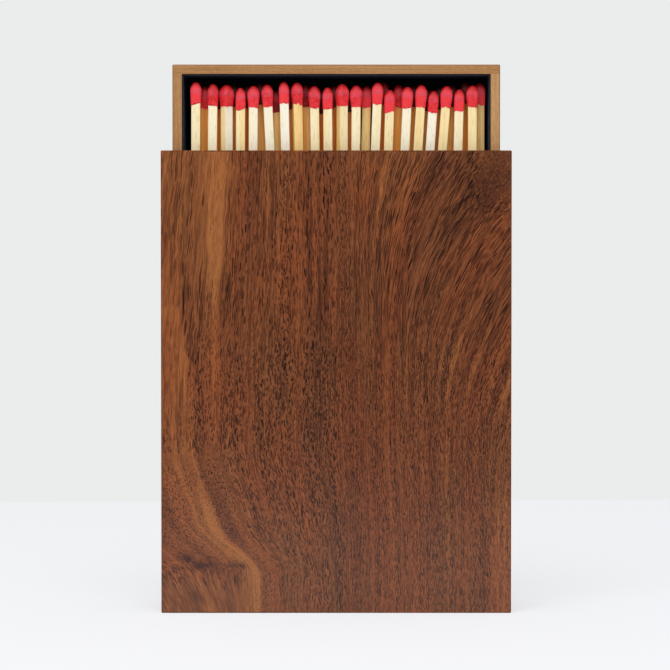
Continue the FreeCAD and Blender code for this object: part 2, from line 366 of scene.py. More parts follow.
gathered = faded(tree, fibres(tree, grain, 300.0, 22.0, 2.0), 0.26, 0.46)
crowded = faded(tree, fibres(tree, grain, 240.0, 5.0, 1.0), 0.25, 0.5)
lines = largest(
    tree, pore_kind(grain, 1300.0, 85.0, 0.27, 0.45, 0.15),
    pore_kind(grain, 1550.0, 58.0, 0.29, 0.45, 0.15),
    pore_kind(grain, 1900.0, 125.0, 0.3, 0.45, 0.1),
)
wedges = pore_kind(grain, 330.0, 50.0, 0.12, 0.3, 0.1)
dashes = largest(
    tree, pore_kind(crooked, 1500.0, 240.0, 0.36, 0.0, 0.25),
    pore_kind(crooked, 1600.0, 580.0, 0.36, 0.25, 0.7),
)
dashes = reckon(tree, "MULTIPLY", dashes, faded(tree, speckled, 1.2, 0.95))
dashes = reckon(tree, "MULTIPLY", dashes, reckon(tree, "MULTIPLY_ADD", crowded, 0.35, 0.65))
dots = pore_kind(grain, 2000.0, 1000.0, 0.4, 0.95, 1.2)
threads = reckon(tree, "MULTIPLY", faded(tree, fibres(tree, grain, 1800.0, 45.0, 2.0), 0.53, 0.64), 0.5)
threads = reckon(tree, "MULTIPLY", threads, faded(tree, speckled, 1.2, 0.8))
cut_open = largest(tree, reckon(tree, "MULTIPLY", lines, gathered), wedges, dashes, dots, threads)
hollow = reckon(tree, "MULTIPLY", cut_open, some)
clear = faded(tree, tone, 1.0, 0.6)
dark = reckon(tree, "MULTIPLY", hollow, reckon(tree, "MULTIPLY_ADD", clear, 0.54, 0.44))
print("walnut pores:", len(tree.nodes), "nodes")

# %% Walnut finish
along = put(tree, "ShaderNodeSeparateXYZ", {0: plank}).outputs["Z"]
foot = reckon(tree, "MULTIPLY", faded(tree, along, 0.018, 0.011), faded(tree, given_speckle, 0.4, -0.05))
hue = faded(tree, fibres(tree, plank, 55.0, 16.0, 2.0), 0.35, 0.65)
hue = reckon(tree, "MULTIPLY", hue, reckon(tree, "SUBTRACT", 1.0, foot))
tint = mixed(tree, hue, (0.93, 1.0, 1.03, 1.0), (1.05, 0.96, 0.92, 1.0))
brown = mixed(tree, 1.0, brown, tint, "MULTIPLY")
# Painted glints: light flecks where fibres catch the light, painted into the base colour.
flecks_and_painted_gleams = reckon(tree, "MULTIPLY", pores(tree, grain, 1450.0, 420.0, 0.34), 0.16)
brown = mixed(tree, reckon(tree, "MULTIPLY", flecks_and_painted_gleams, some), brown, seen(190, 116, 72))
tree.links.new(mixed(tree, dark, brown, seen(34, 13, 8)), shader.inputs["Base Color"])
height = reckon(tree, "MULTIPLY_ADD", hollow, -0.8, reckon(tree, "MULTIPLY", hairs, 0.5))
dents = put(tree, "ShaderNodeBump", {"Strength": 0.04, "Distance": 0.0002, "Height": height})
tree.links.new(dents.outputs[0], shader.inputs["Normal"])
tree.links.new(reckon(tree, "MULTIPLY_ADD", hairs, 0.16, 0.16), shader.inputs["Roughness"])
tree.links.new(reckon(tree, "MULTIPLY", flatness(tree), 0.5), shader.inputs["Specular IOR Level"])
print("walnut:", len(tree.nodes), "nodes")

# %% [markdown]
# ## Sleeve boards
# The four boards are mitred at the corners and their outer edges are eased. The CAD model already
# has that exact shape, so each board starts as a copy of its CAD mesh: the loose triangles are
# merged, and flat ones dissolve into whole faces. The broad outer faces of the front and back
# boards are then cut into a fine grid, whose points can carry a bending grain.

# %% Boards from the frame
def board_copy(node):
    """A clean mesh of a CAD node: points merged, and flat triangles joined into whole faces."""
    bm = bmesh.new()
    bm.from_mesh(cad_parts[node].data)
    bmesh.ops.remove_doubles(bm, verts=bm.verts, dist=1e-6)
    bmesh.ops.dissolve_limit(bm, angle_limit=math.radians(0.5), verts=bm.verts, edges=bm.edges)
    return bm


def cut_into_grid(bm, facing, cuts):
    """Divide the largest face that looks in the given direction into a grid."""
    faces = [face for face in bm.faces if face.normal.dot(facing) > 0.99]
    broad = max(faces, key=lambda face: face.calc_area())
    bmesh.ops.subdivide_edges(bm, edges=broad.edges[:], cuts=cuts, use_grid_fill=True)


def write_grain(bm, places, tones, speckles):
    """Store where each point lies in the plank, how light it is there, and how short its pores are."""
    grain_layer = bm.verts.layers.float_vector.new("grain")
    tone_layer = bm.verts.layers.float.new("tone")
    speckle_layer = bm.verts.layers.float.new("speckled")
    for vert, place, shade, speckle in zip(bm.verts, places, tones, speckles):
        vert[grain_layer] = place
        vert[tone_layer] = shade
        vert[speckle_layer] = speckle


def points_of(bm):
    """Coordinates of all points as three rows: X, Y and Z."""
    return np.array([vert.co[:] for vert in bm.verts]).T


def add_piece(name, bm, material, body, slot, *nodes):
    """Turn a bmesh into a finished piece that rides on a body and stands for its CAD nodes."""
    mesh = bpy.data.meshes.new(name)
    bm.to_mesh(mesh)
    bm.free()
    mesh.materials.append(material)
    mesh.polygons.foreach_set("use_smooth", [True] * len(mesh.polygons))
    mesh.set_sharp_from_angle(angle=math.radians(40))
    piece = bpy.data.objects.new(name, mesh)
    bpy.context.scene.collection.objects.link(piece)
    even = piece.modifiers.new("even_shading", "WEIGHTED_NORMAL")
    even.keep_sharp = True
    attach(piece, body)
    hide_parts(*nodes)
    print(name + ":", len(mesh.polygons), "faces")


print("board helpers: ready")

# %% [markdown]
# ## The front board's figure
# The front board is cut from near a knot. Its fibres stand upright in the middle, sweep out to the
# right above, and swing to the right below on the left side. A function says where a fibre that is
# known by its distance across the plank passes at each height. Each point of the board looks for
# the fibre that passes through it, by halving an interval. Light and dark growth zones then belong
# to fibres and follow their bends by themselves. The way along a fibre is measured along its bends,
# so pores keep their length where fibres lean, and where fibres spread apart the pattern is
# crowded, so pores there stay fine.

# %% Flow of the front board
fan_start = 0.0
fan_full = 0.028
fan_bend = 13.1
fan_level = 0.116
fan_level_slope = 1.47
fan_crowding = 0.9
swing_slow = 0.0091
swing_slow_top = 0.055
swing_slow_height = 0.03
swing_quick = 0.0158
swing_quick_top = 0.03
swing_quick_height = 0.018
swing_slow_middle = -0.013
swing_slow_spread = 0.0343
swing_quick_middle = -0.031
swing_quick_spread = 0.0181
corner_swing = 0.008
corner_swing_top = 0.02
corner_swing_height = 0.025
corner_swing_middle = -0.06
corner_swing_spread = 0.008
upper_lean = 0.08
upper_lean_start = 0.085


def eased(value):
    """A smooth step from 0 to 1."""
    share = np.clip(value, 0, 1)
    return share * share * (3 - 2 * share)


def fibre_path(fibre, z):
    """Where a fibre of the front board passes at height z."""
    above = np.maximum(0, z - (fan_level - fan_level_slope * fibre))
    fan = fan_bend * eased((fibre - fan_start) / fan_full) * above ** 2 / 2
    slow = swing_slow * eased((swing_slow_top - z) / swing_slow_height)
    slow = slow * (1 - np.tanh((fibre - swing_slow_middle) / swing_slow_spread)) / 2
    quick = swing_quick * eased((swing_quick_top - z) / swing_quick_height)
    quick = quick * (1 - np.tanh((fibre - swing_quick_middle) / swing_quick_spread)) / 2
    corner = corner_swing * eased((corner_swing_top - z) / corner_swing_height)
    corner = corner * (1 - np.tanh((fibre - corner_swing_middle) / corner_swing_spread)) / 2
    return fibre + fan + slow + quick + corner


def fibre_through(x, z):
    """The fibre of the front board that passes through each point."""
    low = np.full_like(x, -0.12)
    high = np.full_like(x, 0.08)
    for _ in range(30):
        middle = (low + high) / 2
        beyond = fibre_path(middle, z) > x
        high = np.where(beyond, middle, high)
        low = np.where(beyond, low, middle)
    return middle


def way_along(fibre, z):
    """How far each fibre has come, measured along its bends, from the foot of the board to height z."""
    steps = 60
    rise = z / steps
    reach = 0.0002
    total = np.zeros_like(z)
    for step in range(steps):
        level = rise * (step + 0.5)
        lean = (fibre_path(fibre, level + reach) - fibre_path(fibre, level - reach)) / (2 * reach)
        total += rise * np.sqrt(1 + lean ** 2)
    return total


print("flow: fan above", fan_level, "m and swing below", swing_slow_top, "m")

# %% [markdown]
# ## Light and dark zones
# A plank is never of one tone. Smudges are soft patches at a place on the board, like the dark smears
# of the knot. Strands are soft lines that belong to a fibre and follow it. Each has an amount by which
# it is lighter, the place of its middle, and half its size. Broader zones, whose edges need more than
# a soft patch, are added one by one.

# %% Light and dark zones
smudges = {
    "dull middle": (-0.05, (-0.008, 0.075), (0.025, 0.035)),
    "hollow of the swing": (-0.18, (-0.0333, 0.025), (0.003, 0.0035)),
    "left smear of the knot": (-0.4, (-0.0491, 0.0178), (0.0035, 0.0012)),
    "middle smear of the knot": (-0.4, (-0.0425, 0.0154), (0.0055, 0.0014)),
    "right smear of the knot": (-0.36, (-0.0318, 0.0152), (0.0035, 0.001)),
    "shade at the left edge": (-0.16, (-0.0548, 0.0098), (0.0016, 0.0028)),
    "shade higher at the left edge": (-0.18, (-0.0554, 0.026), (0.0012, 0.006)),
    "light spot left of the smears": (0.2, (-0.0528, 0.0165), (0.0025, 0.0013)),
    "dark spot at the foot": (-0.28, (-0.0454, 0.0052), (0.0022, 0.0028)),
    "light patch inside the band": (0.14, (-0.037, 0.0085), (0.003, 0.005)),
    "light patch at the foot": (0.16, (-0.0508, 0.0083), (0.0018, 0.0038)),
    "shade beside the band": (-0.16, (-0.0318, 0.0108), (0.0026, 0.004)),
    "light patch in the fan": (0.16, (0.036, 0.135), (0.003, 0.005)),
    "dark cloud in the fan": (-0.22, (0.0475, 0.137), (0.005, 0.008)),
    "dark upper corner": (-0.14, (0.053, 0.142), (0.004, 0.006)),
    "dark wedge in the fan": (-0.2, (0.038, 0.1235), (0.002, 0.003)),
}
strands = {
    "amber line beside the streak": (0.1, (-0.0296, 0.098), (0.0014, 0.014)),
    "light line over the band": (0.16, (-0.0384, 0.028), (0.0009, 0.016)),
    "light line at the right": (0.18, (0.0352, 0.042), (0.0009, 0.035)),
    "dark line in the fan": (-0.14, (0.0265, 0.132), (0.004, 0.008)),
    "light line at the left edge": (0.09, (-0.0553, 0.042), (0.0006, 0.012)),
}


def near(value, centre, half_width):
    """A soft band: 1 at its centre, fading out at about its half width."""
    return np.exp(-(((value - centre) / half_width) ** 2))


def blot(x, z, centre, half_size):
    """A soft patch on the board, 1 at its centre."""
    return near(x, centre[0], half_size[0]) * near(z, centre[1], half_size[1])


def front_tone(fibre, x, z):
    """How light the front board is: amber at left, darker at right, with streaks and smudges."""
    tone = 0.57 + 0.12 * eased((0.005 - fibre) / 0.05) + 0.05 * eased((0.04 - z) / 0.03)
    for amount, centre, half_size in smudges.values():
        tone += amount * blot(x, z, centre, half_size)
    for amount, centre, half_size in strands.values():
        tone += amount * blot(fibre, z, centre, half_size)
    streak_width = 0.0016 + 0.0022 * np.clip((z - 0.07) / 0.07, 0, 1)
    tone += 0.1 * near(fibre, -0.0385, streak_width) * eased((z - 0.035) / 0.045)
    tone += 0.36 * near(fibre, -0.0385, streak_width) * eased((z - 0.09) / 0.03)
    tone += 0.04 * near(fibre, -0.0386, 0.0009) * eased((z - 0.045) / 0.02) * eased((0.11 - z) / 0.02)
    tone += 0.18 * near(fibre, -0.033, 0.004) * eased((z - 0.095) / 0.05)
    tone += 0.18 * near(fibre, 0.011, 0.004) * eased((z - 0.1) / 0.045)
    tone += 0.05 * eased((-0.044 - fibre) / 0.003) * eased((z - 0.105) / 0.02)
    border = -0.0453 - 0.0046 * eased((z - 0.06) / 0.05)
    zone = eased((0.115 - z) / 0.03) * eased((z - 0.012) / 0.03)
    tone += 0.16 * eased((border - fibre) / 0.001) * near(fibre, border, 0.0065) * zone
    tone -= 0.12 * eased((fibre - border) / 0.0008) * near(fibre, border, 0.004) * zone
    bend = near(z, 0.018, 0.009)
    band = near(fibre, -0.0478 - 0.0006 * bend, 0.0024 + 0.001 * bend)
    tone += 0.28 * band * eased((0.045 - z) / 0.02)
    tone -= 0.16 * near(fibre, -0.0432, 0.0022) * eased((0.05 - z) / 0.02)
    tone += 0.11 * eased((fibre - 0.046) / 0.006) * eased((0.05 - z) / 0.02)
    tone -= 0.08 * eased((-0.056 - fibre) / 0.006)
    tone -= 0.02 * eased((-0.0475 - fibre) / 0.004) * eased((0.02 - z) / 0.01)
    tone += 0.18 * near(x, -0.0442 + 0.39 * (0.0128 - z), 0.0009) * eased((0.0145 - z) / 0.002)
    arcs = eased((fibre - 0.028) / 0.006) * eased((z - 0.055) / 0.02) * eased((0.112 - z) / 0.02)
    tone += (0.13 * np.sin(fibre / 0.0007) + 0.09 * np.sin(fibre / 0.00043 + 1)) * arcs
    return tone


print("zones:", len(smudges), "smudges and", len(strands), "strands")

# %% [markdown]
# ## Kinds of pores on the front board
# Where the saw cuts along the fibres, pores are long lines, and where it cuts across them they are
# specks or dots. So the pores are lines in the fan, dashes above, specks in the lower half, and dots
# beside the swing and in the upper right corner. The left edge has few pores, and so has the wood
# around the knot.

# %% Front board
dash_pores = 0.4
speck_pores = 0.9
dot_pores = 1.25
mottle_pores = 1.1
plain_pores = -0.085
knot_pores = -0.1
front_cuts = 191


def blended(first, second, share):
    """One value that gives way to another as the share goes from 0 to 1."""
    return first * (1 - share) + second * share


def front_speckle(fibre, x, z):
    """How short the front board's pores are."""
    low = eased((0.105 - z) / 0.045)
    left = eased((-0.028 - fibre) / 0.012)
    fan = eased((fibre + 0.004) / 0.02) * eased((z - 0.07) / 0.04)
    speckle = blended(dash_pores * (1 - 0.8 * left), speck_pores, low) * (1 - fan)
    plain = eased((-0.0475 - fibre) / 0.003) * eased((z - 0.05) / 0.02)
    plain *= 1 - 0.4 * eased((z - 0.1) / 0.03)
    speckle = blended(speckle, plain_pores, plain)
    dotted = eased((-0.034 - fibre) / 0.006) * eased((0.06 - z) / 0.02)
    speckle = blended(speckle, dot_pores, dotted)
    knotty = eased((-0.0475 - fibre) / 0.004) * eased((0.021 - z + 0.0015 * np.sin(900 * x)) / 0.014)
    speckle = blended(speckle, knot_pores, knotty)
    mottled = eased((x - 0.039) / 0.008) * eased((z - 0.122) / 0.012)
    return blended(speckle, mottle_pores, mottled)


bm = board_copy("sleeve_front_panel")
cut_into_grid(bm, Vector((0, -1, 0)), front_cuts)
x, y, z = points_of(bm)
fibre = fibre_through(x, z)
close = fibre + fan_crowding * np.maximum(0, fibre - fan_start)
close -= upper_lean * np.maximum(0, z - upper_lean_start) * eased((-0.012 - fibre) / 0.025)
places = np.stack([close, y, way_along(fibre, z)], axis=1)
write_grain(bm, places, front_tone(fibre, x, z), front_speckle(fibre, x, z))
add_piece("walnut_front", bm, walnut, "sleeve", "walnut", "sleeve_front_panel")

# %% [markdown]
# ## The other three boards
# The back and the sides come from plainer planks. Their grain is nearly straight, with a slow wave,
# and each plank is moved to its own place in the noise so that no two boards look alike.

# %% Back and side boards
back_cuts = 63
wave_width = 0.006
wave_height = 0.04
wave_slant = 0.05
back_lean = 0.06
back_band_width = 0.017

bm = board_copy("sleeve_back_panel")
cut_into_grid(bm, Vector((0, 1, 0)), back_cuts)
x, y, z = points_of(bm)
fibre = x + wave_width * np.sin(z / wave_height + x / wave_slant) + back_lean * z
places = np.stack([fibre + 0.4, y, z + 0.3], axis=1)
write_grain(bm, places, 0.64 + 0.12 * np.sin(fibre / back_band_width), np.full_like(x, 0.65))
add_piece("walnut_back", bm, walnut, "sleeve", "walnut", "sleeve_back_panel")

for hand, plank_place in (("left", 0.8), ("right", 1.2)):
    node = f"sleeve_{hand}_side"
    bm = board_copy(node)
    x, y, z = points_of(bm)
    places = np.stack([y + plank_place, x, z + plank_place + 0.04 * y], axis=1)
    write_grain(bm, places, np.full_like(x, 0.62), np.full_like(x, 0.6))
    add_piece(f"walnut_{hand}_side", bm, walnut, "sleeve", "walnut", node)

# %% [markdown]
# ## Striking strips
# The narrow sides carry a strip of striking coat, let in flush with the wood. It is a dark red-
# brown paste full of fine grit, with a shine that varies in soft clouds. The CAD strips have the
# right shape, so they stay and only get this finish.

# %% Striking strips
striking, tree, shader = new_finish("striking_coat")
here = put(tree, "ShaderNodeTexCoord").outputs["Object"]
grit = put(tree, "ShaderNodeTexNoise", {"Vector": here, "Scale": 2600.0, "Detail": 2.0}).outputs[0]
clouds = put(tree, "ShaderNodeTexNoise", {"Vector": here, "Scale": 90.0, "Detail": 3.0}).outputs[0]
paste = toned(tree, reckon(tree, "MULTIPLY", grit, 0.8), [(clouds, 0.7)])
tree.links.new(
    ramp(tree, paste, [(0.15, seen(40, 22, 20)), (0.5, seen(72, 41, 35)), (0.8, seen(104, 66, 56))]),
    shader.inputs["Base Color"],
)
rough = put(tree, "ShaderNodeBump", {"Strength": 0.5, "Distance": 0.0002, "Height": grit})
tree.links.new(rough.outputs[0], shader.inputs["Normal"])
tree.links.new(reckon(tree, "MULTIPLY_ADD", clouds, 0.3, 0.65), shader.inputs["Roughness"])
for hand in ("left", "right"):
    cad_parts[f"{hand}_striker_strip"].data.materials[0] = striking
print("striking strips: 2 CAD nodes")

# %% [markdown]
# ## Tray
# The tray is a lighter, golden-brown wood with close straight fibres. Its end boards run across, so
# their grain runs across too, and the sides and the floor have theirs upright. The same groups of
# fibres and pores make it, with finer and paler values than in the walnut. Tiny light flecks on it
# are painted glints, and its eased edges are painted darker, as painted shade.

# %% Tray wood
tray_wood, tree, shader = new_finish("tray_wood")
grain = attribute(tree, "grain", "Vector")
bands = fibres(tree, grain, 220.0, 9.0)
hairs = fibres(tree, grain, 2600.0, 60.0, 2.0)
tone = toned(tree, attribute(tree, "tone", "Fac"), [(bands, 0.45), (hairs, 0.7)])
golden = ramp(tree, tone, [
    (0.0, seen(136, 86, 46)),
    (0.35, seen(165, 115, 67)),
    (0.65, seen(186, 139, 88)),
    (1.0, seen(212, 170, 117)),
])
# These dark flecks are the wood's own.
flecks_and_painted_gleams = pores(tree, grain, 2200.0, 360.0, 0.25)
# Painted glints: tiny light flecks where fibres catch the light, painted into the colour.
painted_gleams = pores(tree, grain, 2000.0, 600.0, 0.15)
golden = mixed(tree, reckon(tree, "MULTIPLY", flecks_and_painted_gleams, 0.5), golden, seen(132, 86, 46))
golden = mixed(tree, reckon(tree, "MULTIPLY", painted_gleams, 0.45), golden, seen(216, 190, 150))
# Painted shade: eased edges, where flatness falls to 0, are painted half way to a dark brown.
golden = mixed(tree, reckon(tree, "MULTIPLY_ADD", flatness(tree), -0.5, 0.5), golden, seen(118, 70, 40))
tree.links.new(golden, shader.inputs["Base Color"])
dents = put(tree, "ShaderNodeBump", {"Strength": 0.3, "Distance": 0.0002, "Height": hairs})
tree.links.new(dents.outputs[0], shader.inputs["Normal"])
shader.inputs["Roughness"].default_value = 0.5
shader.inputs["Specular IOR Level"].default_value = 0.3
print("tray wood:", len(tree.nodes), "nodes")

# %% Tray boards
tray_runs = {
    "tray_floor": "upright", "tray_left_side": "upright", "tray_right_side": "upright",
    "tray_top_end": "across", "tray_bottom_end": "across",
}
tray_tones = {
    "tray_floor": 0.5, "tray_left_side": 0.5, "tray_right_side": 0.74,
    "tray_top_end": 0.44, "tray_bottom_end": 0.5,
}
for number, (node, run) in enumerate(tray_runs.items()):
    bm = board_copy(node)
    x, y, z = points_of(bm)
    across, along = (x, z) if run == "upright" else (z, x)
    places = np.stack([across + 0.3 * number, y, along + 0.2 * number], axis=1)
    write_grain(bm, places, np.full_like(x, tray_tones[node]), np.zeros_like(x))
    add_piece(node.replace("tray_", "golden_"), bm, tray_wood, "tray", "tray_wood", node)

# %% [markdown]
# ## Black lining
# Sheets of matt black card line the tray. Card is felted from short fibres, so it has a faint
# mottle, hardly any shine, and a soft nap that looks bluish at a shallow angle. The CAD sheets stay
# as they are and get this finish.

# %% Black lining
lining, tree, shader = new_finish("black_card")
here = put(tree, "ShaderNodeTexCoord").outputs["Object"]
felt = put(tree, "ShaderNodeTexNoise", {"Vector": here, "Scale": 1500.0, "Detail": 4.0}).outputs[0]
black = ramp(tree, felt, [(0.3, seen(20, 22, 30)), (0.7, seen(36, 39, 50))])
tree.links.new(black, shader.inputs["Base Color"])
nap = put(tree, "ShaderNodeBump", {"Strength": 0.3, "Distance": 0.0002, "Height": felt})
tree.links.new(nap.outputs[0], shader.inputs["Normal"])
shader.inputs["Roughness"].default_value = 0.8
shader.inputs["Sheen Weight"].default_value = 0.28
shader.inputs["Sheen Roughness"].default_value = 0.4
shader.inputs["Sheen Tint"].default_value = seen(100, 114, 140)
shader.inputs["Specular IOR Level"].default_value = 0.25
for node in ("floor_lining", "left_lining", "right_lining", "top_end_lining", "bottom_end_lining"):
    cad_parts[node].data.materials[0] = lining
print("lining: 5 CAD nodes")

# %% [markdown]
# ## Where the matches stand
# Each match in the CAD model is a square stick and a dipped head. Their places are read back from
# the CAD meshes: a stick has points only at its two ends, so the middles of the lower and the upper
# half are the ends of its axis, and its longest lower edge tells how it is turned.

# %% Read the matches from the frame
Match = namedtuple("Match", "stand length half skirt tip head_half")


def shells(bm):
    """The separate closed shells of a mesh, each as a list of its points."""
    seen_verts = set()
    found = []
    for start in bm.verts:
        if start in seen_verts:
            continue
        seen_verts.add(start)
        shell, waiting = [], [start]
        while waiting:
            vert = waiting.pop()
            shell.append(vert)
            for edge in vert.link_edges:
                other = edge.other_vert(vert)
                if other not in seen_verts:
                    seen_verts.add(other)
                    waiting.append(other)
        found.append(shell)
    return found


def middle_of(verts):
    """Mean place of some points."""
    return sum((vert.co for vert in verts), Vector()) / len(verts)


def stick_stand(shell):
    """Where a stick stands: its own axes and foot as a matrix, its length and half its width."""
    level = middle_of(shell).z
    lower = [vert for vert in shell if vert.co.z < level]
    foot = middle_of(lower)
    top = middle_of([vert for vert in shell if vert.co.z >= level])
    axis = (top - foot).normalized()
    ring = set(lower)
    edges = {edge for vert in lower for edge in vert.link_edges if edge.other_vert(vert) in ring}
    longest = max(sorted(edges, key=lambda edge: edge.index), key=lambda edge: edge.calc_length())
    side = (longest.verts[1].co - longest.verts[0].co).normalized()
    if side.x < 0:
        side.negate()
    stand = Matrix((side, axis.cross(side), axis)).transposed().to_4x4()
    stand.translation = foot
    half = max((vert.co - foot).dot(side) for vert in lower)
    return stand, (top - foot).length, half


def matches_in(group):
    """All matches of a group: how each stands, its stick's size, and its head's levels and width."""
    stick_mesh = board_copy(f"match_sticks_{group}")
    head_mesh = board_copy(f"match_heads_{group}")
    stick_mesh.edges.index_update()
    found = []
    for stick, head in zip(shells(stick_mesh), shells(head_mesh)):
        stand, length, half = stick_stand(stick)
        to_own = stand.inverted()
        places = [to_own @ vert.co for vert in head]
        levels = [place.z for place in places]
        head_half = max(place.x for place in places)
        found.append(Match(stand, length, half, min(levels), max(levels), head_half))
    stick_mesh.free()
    head_mesh.free()
    return found


matches = {group: matches_in(group) for group in ("front_row", "second_row", "back_rows")}
print("matches:", {group: len(found) for group, found in matches.items()})

# %% [markdown]
# ## Match sticks
# Splints are split and planed from pale wood, from near white to honey yellow, and no two are quite
# straight. Each starts as a cube stretched to its stick: the long edges are eased, the stick is cut
# into short lengths, and every joint between them is moved by a few hundredths of a millimetre. Two
# matches of the first row stand edge on, and their left faces are yellower. The sticks behind the
# first row are painted a darker, deeper orange, as painted shade and bounced light, since light
# reaches them only by bouncing from stick to stick.

# %% Match wood
match_wood, tree, shader = new_finish("match_wood")
grain = attribute(tree, "grain", "Vector")
hairs = fibres(tree, grain, 2600.0, 45.0, 3.0)
bands = fibres(tree, grain, 700.0, 20.0)
tone = toned(tree, attribute(tree, "tone", "Fac"), [(bands, 0.5), (hairs, 0.35)])
# The orange end of this ramp, from 0.75 up, is painted shade and bounced light for the sticks behind the
# first row.
pale = ramp(tree, tone, [
    (0.0, seen(254, 249, 236)),
    (0.3, seen(254, 241, 203)),
    (0.55, seen(252, 221, 150)),
    (0.75, seen(238, 162, 74)),
    (1.0, seen(214, 106, 28)),
])
specks = pores(tree, grain, 1800.0, 160.0, 0.18)
pale = mixed(tree, reckon(tree, "MULTIPLY", specks, 0.35), pale, seen(196, 146, 84))
tree.links.new(pale, shader.inputs["Base Color"])
ridges = put(tree, "ShaderNodeBump", {"Strength": 0.35, "Distance": 0.0002, "Height": hairs})
tree.links.new(ridges.outputs[0], shader.inputs["Normal"])
shader.inputs["Roughness"].default_value = 0.65
shader.inputs["Specular IOR Level"].default_value = 0.3
print("match wood:", len(tree.nodes), "nodes")

# %% Stick shape
stick_rounding = 0.00035
stick_lengths = 7
stick_wander = 0.00004


def everything(bm):
    """All points, edges and faces of a mesh, as the operators want them."""
    return bm.verts[:] + bm.edges[:] + bm.faces[:]


def stick_blank(half, length, chance):
    """One slightly uneven stick that stands on the origin."""
    bm = bmesh.new()
    bmesh.ops.create_cube(bm, size=1.0)
    bmesh.ops.scale(bm, vec=(2 * half, 2 * half, length), verts=bm.verts)
    bmesh.ops.translate(bm, vec=(0, 0, length / 2), verts=bm.verts)
    upright = [edge for edge in bm.edges if abs(edge.verts[0].co.z - edge.verts[1].co.z) > length / 2]
    bmesh.ops.bevel(
        bm, geom=upright, offset=stick_rounding, segments=2, profile=0.5, affect="EDGES", material=-1
    )
    for cut in range(1, stick_lengths):
        level = length * cut / stick_lengths
        cut_line = bmesh.ops.bisect_plane(
            bm, geom=everything(bm), plane_co=(0, 0, level), plane_no=(0, 0, 1)
        )
        ring = [item for item in cut_line["geom_cut"] if isinstance(item, bmesh.types.BMVert)]
        shift = (chance.gauss(0, stick_wander), chance.gauss(0, stick_wander), 0)
        bmesh.ops.translate(bm, vec=shift, verts=ring)
    return bm


def left_of_front_edge(x, y, stand):
    """Which points of a stick lie to the left of the edge that it turns to the front."""
    sideways = x * stand[0][0] + y * stand[0][1]
    deep = x * stand[1][0] + y * stand[1][1]
    return sideways < sideways[np.argmin(deep)]


def join_into(whole, part):
    """Add one bmesh to another."""
    mesh = bpy.data.meshes.new("joined")
    part.to_mesh(mesh)
    part.free()
    whole.from_mesh(mesh)
    bpy.data.meshes.remove(mesh)


print("stick shape:", stick_lengths, "lengths to a stick")

# %% Sticks
stick_tones_and_painted_shade = {
    "front_row": (
        0.37, 0.27, 0.14, 0.47, 0.27, 0.2, 0.14, 0.62, 0.4, 0.36,
        0.4, 0.35, 0.36, 0.42, 0.24, 0.44, 0.13, 0.45, 0.35, 0.47,
    ),
    # The second row's tones are painted shade: they pick the dark orange end of the ramp.
    "second_row": (
        0.8, 0.9, 0.82, 0.95, 0.74, 0.7, 0.8, 0.69, 0.95, 0.93,
        0.86, 0.56, 0.9, 0.76, 0.78, 0.8, 0.8, 0.76, 0.92, 0.63,
    ),
}
yellower_left_faces = {2: 0.32, 10: 0.16}

for group, found in matches.items():
    chance = random.Random("sticks " + group)
    row = bmesh.new()
    for number, match in enumerate(found):
        bm = stick_blank(match.half, match.length, chance)
        x, y, z = points_of(bm)
        # The back rows get painted shade: tones from the dark orange end of the ramp.
        shade = stick_tones_and_painted_shade[group][number] if group in stick_tones_and_painted_shade else chance.uniform(0.8, 1.0)
        shades = np.full_like(x, shade)
        if group == "front_row" and number in yellower_left_faces:
            shades += yellower_left_faces[number] * left_of_front_edge(x, y, match.stand)
        places = np.stack([x + chance.uniform(0, 9), y + chance.uniform(0, 9), z], axis=1)
        write_grain(bm, places, shades, np.zeros_like(x))
        bmesh.ops.transform(bm, matrix=match.stand, verts=bm.verts)
        join_into(row, bm)
    add_piece(f"sticks_{group}", row, match_wood, "tray", "match_wood", f"match_sticks_{group}")

# %% [markdown]
# ## Match heads
# A head is dipped twice: a red coat that creeps up over the square end of the stick, and a bulb
# that dries to a dusty dome. The dip line is never level. Each head is a ring of points that is
# extruded upwards level by level, square over the stick and round above, and closed in one point at
# its tip. A pinkish band on the dome is dust and painted highlight, and the top of the dome is
# painted darker, as painted shade under the tray's top board. Heads behind the first row are painted
# darker, as painted shade, since they stand in the shade between its matches.

# %% Match head finish
head_red, tree, shader = new_finish("match_head")
grain = attribute(tree, "grain", "Vector")
level = put(tree, "ShaderNodeSeparateXYZ", {0: grain}).outputs["Z"]
grit = put(tree, "ShaderNodeTexNoise", {"Vector": grain, "Scale": 2400.0, "Detail": 3.0}).outputs[0]
dust = put(tree, "ShaderNodeTexNoise", {"Vector": grain, "Scale": 700.0, "Detail": 3.0}).outputs[0]
ragged = reckon(tree, "MULTIPLY_ADD", dust, 0.0012, reckon(tree, "SUBTRACT", level, 0.0006))
lower_end = faded(tree, ragged, 0.0029, 0.0035)
upper_end = faded(tree, ragged, 0.0056, 0.0042)
band = reckon(tree, "MULTIPLY", lower_end, upper_end)
lightness = attribute(tree, "tone", "Fac")
# Dust and painted highlight: the band is weaker on heads that are painted darker as shade.
dust_and_highlight_share = reckon(tree, "MULTIPLY_ADD", faded(tree, lightness, 0.0, 0.5), 0.68, 0.04)
dust_and_painted_highlight = reckon(tree, "MULTIPLY", band, reckon(tree, "MULTIPLY", dust, dust_and_highlight_share))
# The dark low end of this ramp is painted shade for the heads behind the first row.
red = ramp(tree, toned(tree, lightness, [(dust, 0.4), (grit, 0.4)]), [
    (0.0, seen(64, 6, 7)),
    (0.2, seen(154, 17, 20)),
    (0.35, seen(210, 32, 37)),
    (0.5, seen(244, 56, 63)),
    (0.8, seen(249, 70, 76)),
])
# Dust and painted highlight: a pinkish band mixed into the red of the dome.
red = mixed(tree, dust_and_painted_highlight, red, seen(200, 88, 110))
